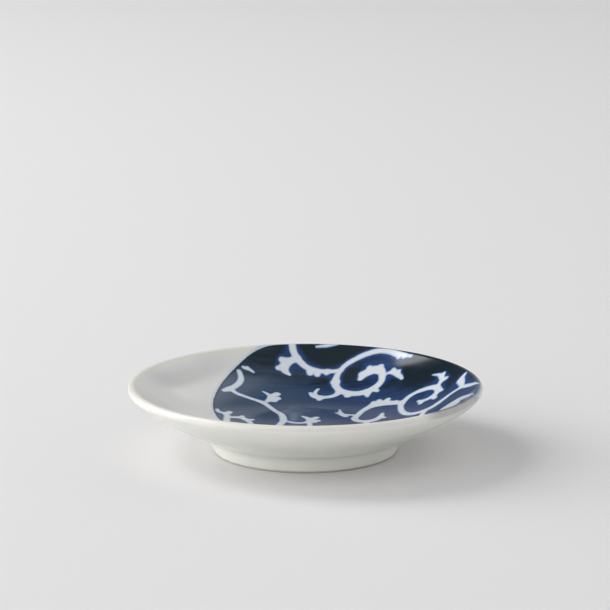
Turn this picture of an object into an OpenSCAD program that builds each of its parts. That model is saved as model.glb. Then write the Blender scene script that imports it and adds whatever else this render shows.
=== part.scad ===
// Round porcelain soy sauce dish on a foot ring, glazed white. A round blue panel, set off
// to one side of the well, is painted with a scrolling vine left white in the ground.
// +Z is up, the foot stands on Z = 0 and the dish's own axis is the Z axis. Millimetres.

/* [Dish] */
// Width across the lip
dish_d = 100; // [84:1:130]
// Height from the table to the top of the lip
dish_h = 19.4; // [17:0.2:26]
// Radius of the rounded lip, so half of the wall's thickness there
lip_r = 1.3; // [1:0.1:1.7]
// Slope of the outer wall just above the foot, in degrees
wall_foot_slope = 27; // [20:1:33]
// Slope of the outer wall just under the lip, in degrees
wall_lip_slope = 50; // [40:1:65]
// Slope of the inner wall just inside the lip, in degrees
well_lip_slope = 42; // [34:1:50]

/* [Well] */
// Width of the flat floor of the well
floor_d = 33; // [24:1:42]
// Height of that floor above the table
floor_z = 7.6; // [7.2:0.1:8.6]
// Slope of the well where its wall leaves the floor, in degrees
well_floor_slope = 3; // [0:0.5:6]

/* [Foot] */
// Width across the foot where it stands
foot_d = 52.4; // [46:0.2:60]
// Width of the foot's standing face
foot_w = 3.6; // [3:0.1:4.6]
// Height of the foot on its outside
foot_h = 4.1; // [3.2:0.1:4.6]
// Height of the hollow inside the foot, at its middle
hollow_h = 4.8; // [4.5:0.1:5]
// Rise of the hollow's ceiling from its edge to its middle
hollow_rise = 0.2; // [0.1:0.05:0.4]
// Lean of the foot's two sides from upright, in degrees
foot_lean = 9; // [2:1:14]
// Radius of the bare clay edges at the bottom of the foot
foot_edge_r = 0.6; // [0.3:0.1:0.8]
// Radius of the glaze's hollow curve where the foot meets the wall
joint_r = 1; // [0.6:0.1:1.6]

/* [Glaze] */
// Thickness of the glaze
glaze_t = 0.3; // [0.2:0.02:0.4]
// Height of the bare clay left round the bottom of the foot
bare_h = 0.5; // [0.4:0.1:1.4]

/* [Painting] */
// Width of the blue panel
panel_d = 87; // [70:0.5:96]
// Place of the panel's middle, to the right of the dish's axis
panel_x = 16.9; // [8:0.1:24]
// Place of the panel's middle, behind the dish's axis
panel_y = 15; // [6:0.1:22]
// Width of the dark line along the panel's edge
line_w = 0.5; // [0.3:0.05:1]
// Width of the pale blue band round the vine
halo_w = 0.9; // [0.5:0.05:1.4]
// Fullness added round each lobe of the leaves
lobe_swell = 0.2; // [0:0.05:0.3]
// Direction in which the paint reaches furthest over the lip, in degrees from the right
spill_turn = -30; // [-60:5:0]
// Gap left there between the paint and the lip's outermost edge
spill_gap = 0.4; // [0.3:0.1:1.2]
// Gap between them on the opposite side
far_gap = 1.9; // [1.4:0.1:3]

/* [Hidden] */

// Fineness of round shapes, steps along the wall's curves, the lip and the foot's edges
$fn = 144;
curve_steps = 12;
lip_steps = 10;
edge_steps = 4;
// Steps from one point of a brush stroke to the next, and sides of its round ends
stroke_steps = 2;
tip_sides = 10;

// One overrun serves all cuts
over = 1;
rim_r = dish_d / 2;
foot_r = foot_d / 2;
floor_r = floor_d / 2;
panel_r = panel_d / 2;
lip_at = [rim_r - lip_r, dish_h - lip_r];
spill_at = (far_gap - spill_gap) / 2 * [cos(spill_turn), sin(spill_turn)];

// Lengths of the wall curves' handles, as shares of the straight line from end to end
outer_handle_shares = [0.42, 0.22];
inner_handle_shares = [0.34, 0.40];

// Brush strokes left white. Each point is [right, back, half width] in hundredths of rim_r.
vine_shares = [
    // Stem that comes in over the back of the lip, and its leaf
    [[-8, 101, 2.1], [-7.8, 95, 2.2], [-6.2, 90, 2.2], [-2.6, 85.2, 2.1], [0.8, 82, 2], [5, 79.8, 1.9],
        [10.4, 78.4, 1.7], [16.6, 77.8, 1.6], [20.6, 77.8, 1.5]],
    [[-4.4, 87.8, 2], [-8.4, 86.4, 2.4], [-11.4, 84.2, 3], [-12.6, 81.2, 2.9], [-11.8, 78.4, 2.2],
        [-9.4, 75.8, 1]],
    // Great scroll behind the middle, from the tip of its outer leaf to the curl's end
    [[62.2, 71.6, 0.8], [58.8, 74, 1.2], [54.8, 77.2, 1.9], [49.4, 81.6, 1.7], [42.8, 84.6, 1.6],
        [35.6, 85, 1.7], [29.6, 83.8, 1.7], [24.8, 81.8, 1.7], [21.6, 79, 1.7], [19, 74.8, 1.8],
        [17.8, 70.4, 2.3], [17.6, 66, 2.5], [18.6, 62, 2.3], [21, 57.8, 2.6], [25.6, 54.2, 3],
        [31.2, 52.8, 3], [36.6, 54.2, 2.8], [41, 57, 2.5], [44, 60.8, 2.2], [45, 65.6, 2.2],
        [44.4, 70, 2.6], [41.6, 72.4, 3], [37.8, 72.4, 3.2], [34.4, 70.8, 2.6], [32.2, 68, 1.8]],
    // Small leaf to the right of the great scroll
    [[46.2, 66, 0.8], [49.4, 66.6, 1.3], [52, 65.6, 2], [53.8, 62.6, 1.8], [55.4, 59.8, 1.5],
        [56.2, 57.6, 1.1]],
    // Shoot to the left of the great scroll, and the hook on it
    [[19.6, 58.6, 2], [18.4, 54.8, 2], [15.6, 52.4, 2], [11.6, 51.4, 2], [7.8, 51.6, 2.6],
        [4.8, 53.8, 2.2], [2.8, 57.4, 1.2]],
    [[6, 53.6, 1.6], [5.6, 57.2, 1.3], [6.4, 60.2, 1.2], [7.4, 61.8, 1]],
    // Leaf that just shows under the back of the lip
    [[6.4, 94.8, 0.6], [12, 95, 1.1], [19, 95.2, 0.8]],
    // Stem along the panel's left edge and its broad lobe
    [[-39, 72, 1.6], [-37.8, 67, 1.9], [-38.8, 62, 1.9], [-41.6, 56.8, 1.9], [-44.8, 52.8, 2.2],
        [-47.6, 50, 1.4]],
    [[-43.6, 53.4, 1.8], [-40, 50, 1.7], [-34.4, 47.4, 1.6], [-28.6, 44.4, 1.7], [-25, 42, 2.1],
        [-22.4, 38.4, 1.8], [-19.6, 32.8, 1.7], [-16.2, 25.4, 1.8], [-14, 20, 2], [-12.8, 12.4, 2.2],
        [-12.6, 5, 2.2], [-13.6, 0, 2.2], [-15.4, -6.6, 2.1], [-18.6, -14, 2], [-18.4, -23, 2.2],
        [-13, -31, 2.4], [-3, -34.4, 2.4], [5, -30.6, 2.2], [7.6, -23.6, 2], [3.6, -18.4, 2],
        [-3, -18.8, 2.4], [-5.6, -23, 2]],
    // Leaf on that stem
    [[-22.4, 43.6, 1.6], [-20.2, 48.6, 2.2], [-21, 53, 1.6], [-24.8, 56.8, 0.7]],
    // Small leaf by the panel's upper left edge
    [[-36.6, 76, 1.2], [-33.4, 75.7, 1.3], [-30.7, 74.1, 0.9]],
    // Pair of leaves at the panel's left, and the stems that carry them to the front
    [[-50.4, 21.6, 1.1], [-49.8, 18, 1.6], [-46.8, 16.4, 1.9], [-44.8, 13.2, 2], [-44.6, 8.4, 2],
        [-44.6, 2, 2.1], [-43, -6, 1.8], [-37, -14, 1.6], [-28, -18, 1.6], [-20, -16, 1.6]],
    [[-43.6, 10, 1.6], [-37, 11, 2.2], [-33.4, 6.8, 1.9], [-31, 0, 1.6], [-30.4, -6, 1.4],
        [-33.4, -12, 1.3]],
    // Leaf in the middle of the well, and the twig that carries it
    [[-11, 4.8, 1], [-8.4, 2, 1.4], [-5.2, 0.4, 1.5], [-1.2, 0.6, 1.6], [2.2, 3.6, 2.4], [2.2, 9, 2.2],
        [-0.4, 13.8, 1.6], [-1.6, 15.8, 1]],
    [[2.4, 3, 1.8], [2.4, -4.2, 1.6], [3.4, -11, 1.5], [10, -16.6, 1.6], [19, -18, 1.5],
        [27, -14.6, 1.4], [31.6, -10, 1.5]],
    // Scroll at the right, from its junction up to the curl's end
    [[55.6, 27.6, 1.8], [57.2, 31.6, 1.9], [59.6, 35, 1.9], [63.2, 37, 1.9], [66.8, 37.2, 2.1],
        [71.2, 36, 2.2], [74.6, 33.4, 2.3], [76, 29.6, 2.2], [75.4, 26, 2.1], [72.8, 23.4, 2.1],
        [69.2, 22.4, 1.9], [66, 23, 1.7], [64.8, 24.6, 1.1]],
    // Tuft on it
    [[76.2, 33.4, 1.6], [78.6, 37.4, 1.6], [78.6, 41.4, 1.5], [77, 44.4, 1.1], [73.8, 47.6, 0.5]],
    // Stem from the junction down, and along to the right of the lip
    [[54.8, 30.8, 2], [54.6, 24.8, 1.9], [54.6, 18.4, 1.9], [55.6, 12.4, 2], [58, 7.4, 2.3],
        [62.4, 4.8, 2.5], [67.2, 4.8, 2.5], [72, 6.4, 2.3], [77.2, 10, 2], [82, 12.8, 1.7],
        [86.8, 13.2, 1.6], [89.8, 11.2, 1.6], [92.6, 6.4, 1.5], [95.4, 1, 1.3], [97.2, -2.8, 0.9]],
    [[89, 13.6, 1.5], [89, 18.6, 2], [88.8, 23.4, 2.4], [91.2, 26, 1.4]],
    // Twig under that stem
    [[68.4, 5, 1.6], [66.4, 0, 1.7], [65, -5, 1.7], [64.4, -11, 1.7], [68, -19, 1.7],
        [74, -21.6, 1.6], [78.6, -20.6, 1.1]],
    // Scroll at the middle right, from the junction to its inner end
    [[55.2, 29.4, 2], [51.4, 31, 2.4], [47, 33.4, 3.4], [42.6, 34.2, 3.9], [38.6, 32.6, 3],
        [35, 29, 2.2], [32.2, 24.4, 1.9], [30.4, 19.4, 1.9], [28.8, 14.6, 2], [28, 9.6, 2.3],
        [29.6, 5.2, 2.6], [33.6, 3.6, 2.8], [37.8, 4.6, 2.5], [41, 7.8, 2.2], [43, 12, 1.8],
        [44, 17.2, 1.1]],
    // Leaf to the left of that scroll
    [[28.8, 17.8, 1.4], [25.2, 18.6, 1.8], [22, 18.6, 2.5], [20.2, 22, 1.8], [19.8, 26, 1.2],
        [19.8, 30.4, 0.5]],
    // Scroll in the front of the well
    [[35.4, 3.4, 1.8], [33, -5, 1.8], [30, -15, 2], [30, -27, 2.2], [36, -38, 2.4], [47, -42.6, 2.4],
        [57, -37, 2.2], [58.6, -26, 2], [51.6, -19.4, 2], [43.6, -22, 2.2], [42, -28, 2.4]],
    [[57, -37.6, 1.8], [66, -42, 1.8], [76, -38.4, 1.7], [84, -31, 1]],
    // Long leaf beside the right of the lip
    [[75, -14, 1.4], [77.6, -8.4, 2.4], [81.4, -6, 2.6], [85.6, -6.6, 2.8], [88.6, -11.6, 2.4],
        [91.2, -19.4, 1.8], [92.8, -29, 0.9]]
];

// Lobes on the leaves. Each runs from [right, back, radius] to a second such point.
lobe_shares = [
    // Under the stem at the back
    [[2.6, 78.8, 1.8], [2.8, 77.4, 1.7]],
    [[6.6, 78.4, 1.8], [7, 76, 1.6]],
    [[12.8, 78, 1.6], [12.4, 76.8, 1.4]],
    // Leaf at the back
    [[-10.8, 85.6, 2], [-14, 86.4, 1.7]],
    [[-12.8, 81.4, 2], [-16.2, 80.4, 1.4]],
    // Great scroll's curl, its leaf below and its shoulder
    [[38, 73, 2.2], [37.6, 75.2, 1.4]],
    [[43, 71, 2.2], [44.2, 73.4, 1.6]],
    [[34.4, 71.2, 2], [33.2, 71.6, 1.9]],
    [[35.8, 52, 2.6], [36, 47, 0.5]],
    [[39.6, 54.8, 2.2], [41.8, 52, 1]],
    [[24.6, 53.6, 2.2], [24.6, 51.2, 1.8]],
    [[18, 68.4, 2.2], [16.8, 68.2, 2]],
    [[54.8, 76, 1], [54.6, 75.2, 0.8]],
    [[58.2, 74.2, 0.8], [57.8, 73.6, 0.6]],
    // Small leaf to its right
    [[51.6, 66.4, 1.4], [51.6, 67.8, 1.1]],
    [[54, 64, 1.4], [54.8, 65, 0.9]],
    // Shoot to its left
    [[8.6, 51.6, 2], [8, 48.4, 1.4]],
    // Leaf on the long stem
    [[-19.6, 52.4, 1.6], [-16.6, 55, 1.9]],
    [[-20, 48.6, 1.8], [-16.8, 49.2, 2.4]],
    [[-21, 46, 1.6], [-18.2, 45.6, 1.9]],
    // Small leaf by the edge
    [[-34.6, 76, 0.8], [-34.2, 76.8, 0.5]],
    // Pair of leaves at the left
    [[-44.6, 17, 1.8], [-43.4, 19.8, 1.5]],
    [[-36.6, 11.4, 1.6], [-36, 14.2, 1.1]],
    [[-33.4, 7, 1.6], [-30.6, 7.6, 1.6]],
    // Leaf in the middle
    [[3, 8.4, 2], [6.2, 12.6, 1.7]],
    [[3.4, 5, 2], [6.6, 5.4, 1.9]],
    [[3, 2.8, 1.6], [5.4, 2.2, 1.2]],
    // Curl and tuft at the right
    [[73, 23, 1.6], [73.8, 19.4, 1.2]],
    [[66.4, 22, 1.6], [65.6, 19.8, 1.1]],
    [[76.6, 27.6, 1.4], [78, 25.2, 0.8]],
    [[78.4, 40.8, 1.2], [79.8, 42.4, 1]],
    [[78.6, 36.6, 1.4], [80.8, 36.4, 1.2]],
    // Crown of the scroll at the middle right
    [[38.8, 34.6, 1.8], [39.4, 37.8, 1.4]],
    [[42.4, 36.4, 2], [42.6, 39.2, 1.4]],
    [[46.4, 36, 2], [47.6, 38.8, 1.4]],
    [[50.6, 32.6, 1.6], [52, 33.2, 1.3]],
    [[43, 9.4, 1.6], [44.8, 8.6, 1]],
    // Leaf to the left of it
    [[22.2, 17, 1.8], [22.8, 15.2, 1.4]],
    [[20, 22, 1.4], [18, 22.8, 0.8]],
    // Curl in the front left
    [[-3, -18.4, 1.8], [-5.4, -15.6, 1.4]],
    [[2.4, -18.6, 1.8], [3.4, -14.6, 1.4]],
    [[-10, -33, 2], [-11.6, -37, 1.2]],
    [[-4, -35, 2], [-3.6, -38.8, 1]],
    [[-20, -16, 1.5], [-22.6, -12.6, 1]],
    // Curl and leaves in the front right
    [[45, -21.4, 1.8], [41.6, -18, 1.4]],
    [[42.4, -26, 1.8], [38.4, -24.6, 1.3]],
    [[34, -36.6, 2], [30.4, -39, 1.1]],
    [[47, -43, 2], [47.4, -47, 0.9]],
    [[31, -10.4, 1.4], [34.6, -8, 1]],
    [[67, -42, 1.6], [67.4, -46, 0.9]],
    [[75, -38.8, 1.5], [77.4, -42, 0.8]],
    [[75, -22.4, 1.4], [75.6, -25.4, 0.9]],
    // Fullness of the long leaf beside the lip
    [[81, -8.4, 2.8], [79.4, -16, 2.4]],
    [[85, -9, 2.6], [84, -15.6, 2]]
];

// Points of a cubic curve, moved to its left by a depth
function curve(a, b, c, d, steps, depth) = [
    for (i = [0:steps])
        let (
            t = i / steps,
            s = 1 - t,
            way = s * s * (b - a) + 2 * s * t * (c - b) + t * t * (d - c)
        )
        s * s * s * a + 3 * s * s * t * b + 3 * s * t * t * c + t * t * t * d
            + depth * [-way[1], way[0]] / norm(way)
];

// Points of an arc round a centre
function arc(centre, radius, from, to, steps) = [
    for (i = [0:steps]) let (a = from + (to - from) * i / steps) centre + radius * [cos(a), sin(a)]
];

function backwards(list) = [for (i = [len(list) - 1:-1:0]) list[i]];
function tail(list) = [for (i = [1:len(list) - 1]) list[i]];

// Outside of the dish, at a depth below its surface: up the foot, round the hollow curve
// above it, along the wall and round the lip to its widest point
edge_r = foot_edge_r + glaze_t;
foot_top = [foot_r + foot_h * tan(foot_lean), foot_h];
joint_run = joint_r * tan((90 - foot_lean - wall_foot_slope) / 2);
joint_at = foot_top - joint_run * [sin(foot_lean), cos(foot_lean)]
    + joint_r * [cos(foot_lean), -sin(foot_lean)];
wall_start = foot_top + joint_run * [cos(wall_foot_slope), sin(wall_foot_slope)];
outer_lip = lip_at + lip_r * [sin(wall_lip_slope), -cos(wall_lip_slope)];
outer_run = norm(outer_lip - wall_start);
function outer_face(depth) = concat(
    arc([foot_r - edge_r, foot_edge_r], edge_r - depth, -90, -foot_lean, edge_steps),
    arc(joint_at, joint_r + depth, 180 - foot_lean, 90 + wall_foot_slope, edge_steps),
    tail(curve(
        wall_start,
        wall_start + outer_run * outer_handle_shares[0] * [cos(wall_foot_slope), sin(wall_foot_slope)],
        outer_lip - outer_run * outer_handle_shares[1] * [cos(wall_lip_slope), sin(wall_lip_slope)],
        outer_lip,
        curve_steps,
        depth
    )),
    tail(arc(lip_at, lip_r - depth, wall_lip_slope - 90, 0, lip_steps / 2))
);

// Inside of the dish: over the lip from its widest point, down the well to the axis
inner_lip = lip_at + lip_r * [-sin(well_lip_slope), cos(well_lip_slope)];
floor_edge = [floor_r, floor_z];
inner_run = norm(inner_lip - floor_edge);
function inner_face(depth) = concat(
    arc(lip_at, lip_r - depth, 0, 90 + well_lip_slope, lip_steps),
    tail(curve(
        inner_lip,
        inner_lip - inner_run * inner_handle_shares[0] * [cos(well_lip_slope), sin(well_lip_slope)],
        floor_edge + inner_run * inner_handle_shares[1] * [cos(well_floor_slope), sin(well_floor_slope)],
        floor_edge,
        curve_steps,
        depth
    )),
    [[0, floor_z - depth]]
);

// Underside: the hollow's ceiling from the axis, then down the inside of the foot
foot_in_r = foot_r - foot_w;
ceiling_z = hollow_h - hollow_rise;
ceiling_r = foot_in_r - ceiling_z * tan(foot_lean);
function under_face(depth) = concat(
    [[0, hollow_h + depth]],
    arc([ceiling_r - joint_r, ceiling_z - joint_r], joint_r + depth, 90, foot_lean, edge_steps),
    arc([foot_in_r + edge_r, foot_edge_r], edge_r - depth, 180 + foot_lean, 270, edge_steps)
);

// The foot was thrown apart and luted on where the clay turns out above it
seat_z = outer_face(glaze_t)[edge_steps + 1][1];

// All the clay in section, standing on Z = 0
module clay_section() {
    polygon(concat(under_face(glaze_t), outer_face(glaze_t), tail(inner_face(glaze_t))));
}

module above(height) {
    translate([-over, height]) square([rim_r + 2 * over, dish_h]);
}

// Half section of the glaze between a face and the clay under it, above the foot's bare edge
module glaze_section(face, clay) {
    intersection() {
        polygon(concat(face, backwards(clay)));
        above(bare_h);
    }
}

module inner_skin() {
    rotate_extrude() glaze_section(inner_face(0), inner_face(glaze_t));
}

// Left normal of the step from one point to the next
function side(a, b) = [a[1] - b[1], b[0] - a[0]] / norm(b - a);

// Brush strokes
function between(p, i, t) =
    let (
        last = len(p) - 1,
        a = p[max(i - 1, 0)], b = p[i], c = p[min(i + 1, last)], d = p[min(i + 2, last)]
    )
    (2 * b + (c - a) * t + (2 * a - 5 * b + 4 * c - d) * t * t + (3 * b - a - 3 * c + d) * t * t * t) / 2;

function smooth(p) = concat(
    [for (i = [0:len(p) - 2], k = [0:stroke_steps - 1]) between(p, i, k / stroke_steps)],
    [p[len(p) - 1]]
);

function place(p) = [p[0], p[1]];
function scaled(table) = [for (stroke = table) stroke * rim_r / 100];

function flank(p, way) = [
    for (i = [0:len(p) - 1])
        place(p[i]) + way * p[i][2] * side(place(p[max(i - 1, 0)]), place(p[min(i + 1, len(p) - 1)]))
];

module stroke(points) {
    path = smooth(points);
    polygon(concat(flank(path, 1), backwards(flank(path, -1))));
    for (end = [path[0], path[len(path) - 1]])
        translate(place(end)) circle(end[2], $fn = tip_sides);
}

module lobe(ends) {
    full = [for (end = ends) end + [0, 0, lobe_swell]];
    polygon(concat(flank(full, 1), backwards(flank(full, -1))));
    for (end = full)
        translate(place(end)) circle(end[2], $fn = tip_sides);
}

// The whole vine in plan, wider by a margin
module vine(margin) {
    offset(delta = margin) {
        for (points = scaled(vine_shares)) stroke(points);
        for (ends = scaled(lobe_shares)) lobe(ends);
    }
}

// Prism of a plan shape, deeper than the well
module prism() {
    translate([0, 0, -over]) linear_extrude(dish_h + 2 * over) children();
}

module post(at, radius) {
    translate([at[0], at[1], -over]) cylinder(r = radius, h = dish_h + 2 * over);
}

// Upright cylinder of the painted panel, short of its edge by a margin
module panel(margin) {
    post([panel_x, panel_y], panel_r - margin);
}

// Upright cylinder inside which the lip is painted
module paint_limit() {
    post(spill_at, rim_r - (far_gap + spill_gap) / 2);
}

// The inner glaze as far out as the paint reaches on the lip
module painted_skin() {
    intersection() {
        inner_skin();
        paint_limit();
    }
}

module porcelain_body() {
    color("ivory")
        rotate_extrude() intersection() {
            clay_section();
            above(seat_z);
        }
}

module foot_ring() {
    color("antiquewhite")
        rotate_extrude() difference() {
            clay_section();
            above(seat_z);
        }
}

module outer_glaze() {
    color("whitesmoke")
        rotate_extrude() glaze_section(outer_face(0), outer_face(glaze_t));
}

module underside_glaze() {
    color("gainsboro")
        rotate_extrude() glaze_section(under_face(0), under_face(glaze_t));
}

module inner_glaze() {
    color("white") difference() {
        inner_skin();
        intersection() {
            panel(0);
            paint_limit();
        }
    }
}

module panel_line() {
    color("midnightblue") difference() {
        intersection() {
            painted_skin();
            panel(0);
        }
        panel(line_w);
    }
}

module dark_wash() {
    color("navy") difference() {
        intersection() {
            painted_skin();
            panel(line_w);
        }
        prism() vine(halo_w);
    }
}

module pale_wash() {
    color("royalblue") difference() {
        intersection() {
            painted_skin();
            panel(line_w);
            prism() vine(halo_w);
        }
        prism() vine(0);
    }
}

module vine_reserve() {
    color("aliceblue") intersection() {
        painted_skin();
        panel(line_w);
        prism() vine(0);
    }
}

porcelain_body();
foot_ring();
outer_glaze();
underside_glaze();
inner_glaze();
panel_line();
dark_wash();
pale_wash();
vine_reserve();
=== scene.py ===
"""The look of a round porcelain soy sauce dish: white glaze on a foot ring, and a round
cobalt panel with a scrolling vine left white. Metres, +Z up, the foot stands on Z = 0."""
import math

import bpy
import numpy as np
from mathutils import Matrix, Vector


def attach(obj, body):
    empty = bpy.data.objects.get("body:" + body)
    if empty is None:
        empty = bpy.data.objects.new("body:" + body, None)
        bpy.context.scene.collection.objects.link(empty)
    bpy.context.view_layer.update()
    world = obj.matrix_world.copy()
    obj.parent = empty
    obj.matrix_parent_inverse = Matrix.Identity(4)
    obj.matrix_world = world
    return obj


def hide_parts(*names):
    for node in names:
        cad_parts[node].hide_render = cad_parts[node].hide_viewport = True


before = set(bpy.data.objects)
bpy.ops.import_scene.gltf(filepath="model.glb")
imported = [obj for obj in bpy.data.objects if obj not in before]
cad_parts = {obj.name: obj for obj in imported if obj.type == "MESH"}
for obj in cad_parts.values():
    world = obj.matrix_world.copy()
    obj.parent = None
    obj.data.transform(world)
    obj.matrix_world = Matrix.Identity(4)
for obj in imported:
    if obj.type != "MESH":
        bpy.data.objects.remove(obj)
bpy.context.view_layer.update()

# Lengths are in millimetres and angles in degrees, unless a comment says otherwise.
MM = 0.001

# The clay form, as in the solids
RIM_R = 50.0
DISH_H = 19.4
LIP_R = 1.3
WALL_FOOT_SLOPE = 27
WALL_LIP_SLOPE = 50
OUTER_HANDLE_SHARES = (0.42, 0.22)
WELL_LIP_SLOPE = 42
WELL_FLOOR_SLOPE = 3
INNER_HANDLE_SHARES = (0.34, 0.40)
FLOOR_R = 16.5
FLOOR_Z = 7.6
FOOT_R = 26.2
FOOT_W = 3.6
FOOT_H = 4.1
FOOT_LEAN = 9
FOOT_EDGE_R = 0.6
HOLLOW_H = 4.8  # height of the hollow under the dish, in its middle
HOLLOW_RISE = 0.2  # how much lower its ceiling is at the foot
JOINT_R = 1.0
POOL_R = 2.0  # the glaze pools in the outer joint and rounds it more
GLAZE_T = 0.3
GLAZE_ROLL = 0.97  # roundness of the glaze's end by the bare clay, 1 for a full quarter round
BARE_H = 0.5

# The painting
PANEL_R = 43.5
PANEL_AT = (16.9, 15.0)
LINE_W = 0.5
HALO_W = 0.9
SPILL_TURN = -30  # where on the lip the paint comes nearest to its widest point
SPILL_GAP = 0.4  # what it leaves free there
FAR_GAP = 1.9  # and on the other side
LIMIT_R = RIM_R - (FAR_GAP + SPILL_GAP) / 2
LOBE_SWELL = 0.2  # fullness added round each lobe
JOIN = 0.55  # how far two strokes flow together where they meet
CORNER = 3.0  # how far the panel's edge and the paint's limit on the lip flow together
CLOSE_R = 2.2  # how far round the vine the ground is painted with a wetter brush
FAR = 9.0  # distance given to all points further than this from the vine

# Unevenness of the hand-painted edges, as a sum of slow waves [across, back, shift]
WOBBLE = 0.05
WAVES = ((1.7, 0.9, 1.1), (-1.1, 2.1, 2.3), (2.9, -1.3, 4.0), (0.8, 3.3, 0.4))

# A smear of paint that runs over the lip
SMEAR_TURNS = (-50, -12)
SMEAR_END = 6.0  # length over which it fades out at both ends
SMEAR_WOBBLE = 0.2
SMEAR_WAY = (47.6, 48.2, 49.0, 49.35, 50.0, 50.9)  # radii over the lip, then on down its outside
SMEAR_SHARES = (0, 1, 1, 0.5, 0.4, 0)

# Fineness of the meshes
ARC_STEPS = 24
LIP_STEPS = 80
WALL_STEPS = 200
WELL_STEPS = 600
FLOOR_POINTS = 300
CEILING_POINTS = 60
STROKE_STEPS = 6
CELL = 0.42  # step between rings inside the dish
LIP_CELL = 0.2  # and round the lip
OUTER_CELL = 0.6  # and on the outside
OUTER_COUNT = 768  # points in a ring there
# Points in a ring inside the dish, from each radius on
RING_COUNTS = ((24, 768), (12, 384), (6, 192), (3, 96), (1.4, 48), (0, 24))
SNAP = 0.02  # a point this close to a paint edge counts as inside it
SAME = 1e-4  # points closer than this are one
ON_AXIS = 1e-6  # a radius below this is none
TINY = 1e-12  # keeps divisions from zero
CREASE_R = 1.6  # half width over which the crease at the edge of the floor is eased
SHARP_ANGLE = 32  # edges of the bare foot with a greater angle stay sharp

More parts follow.
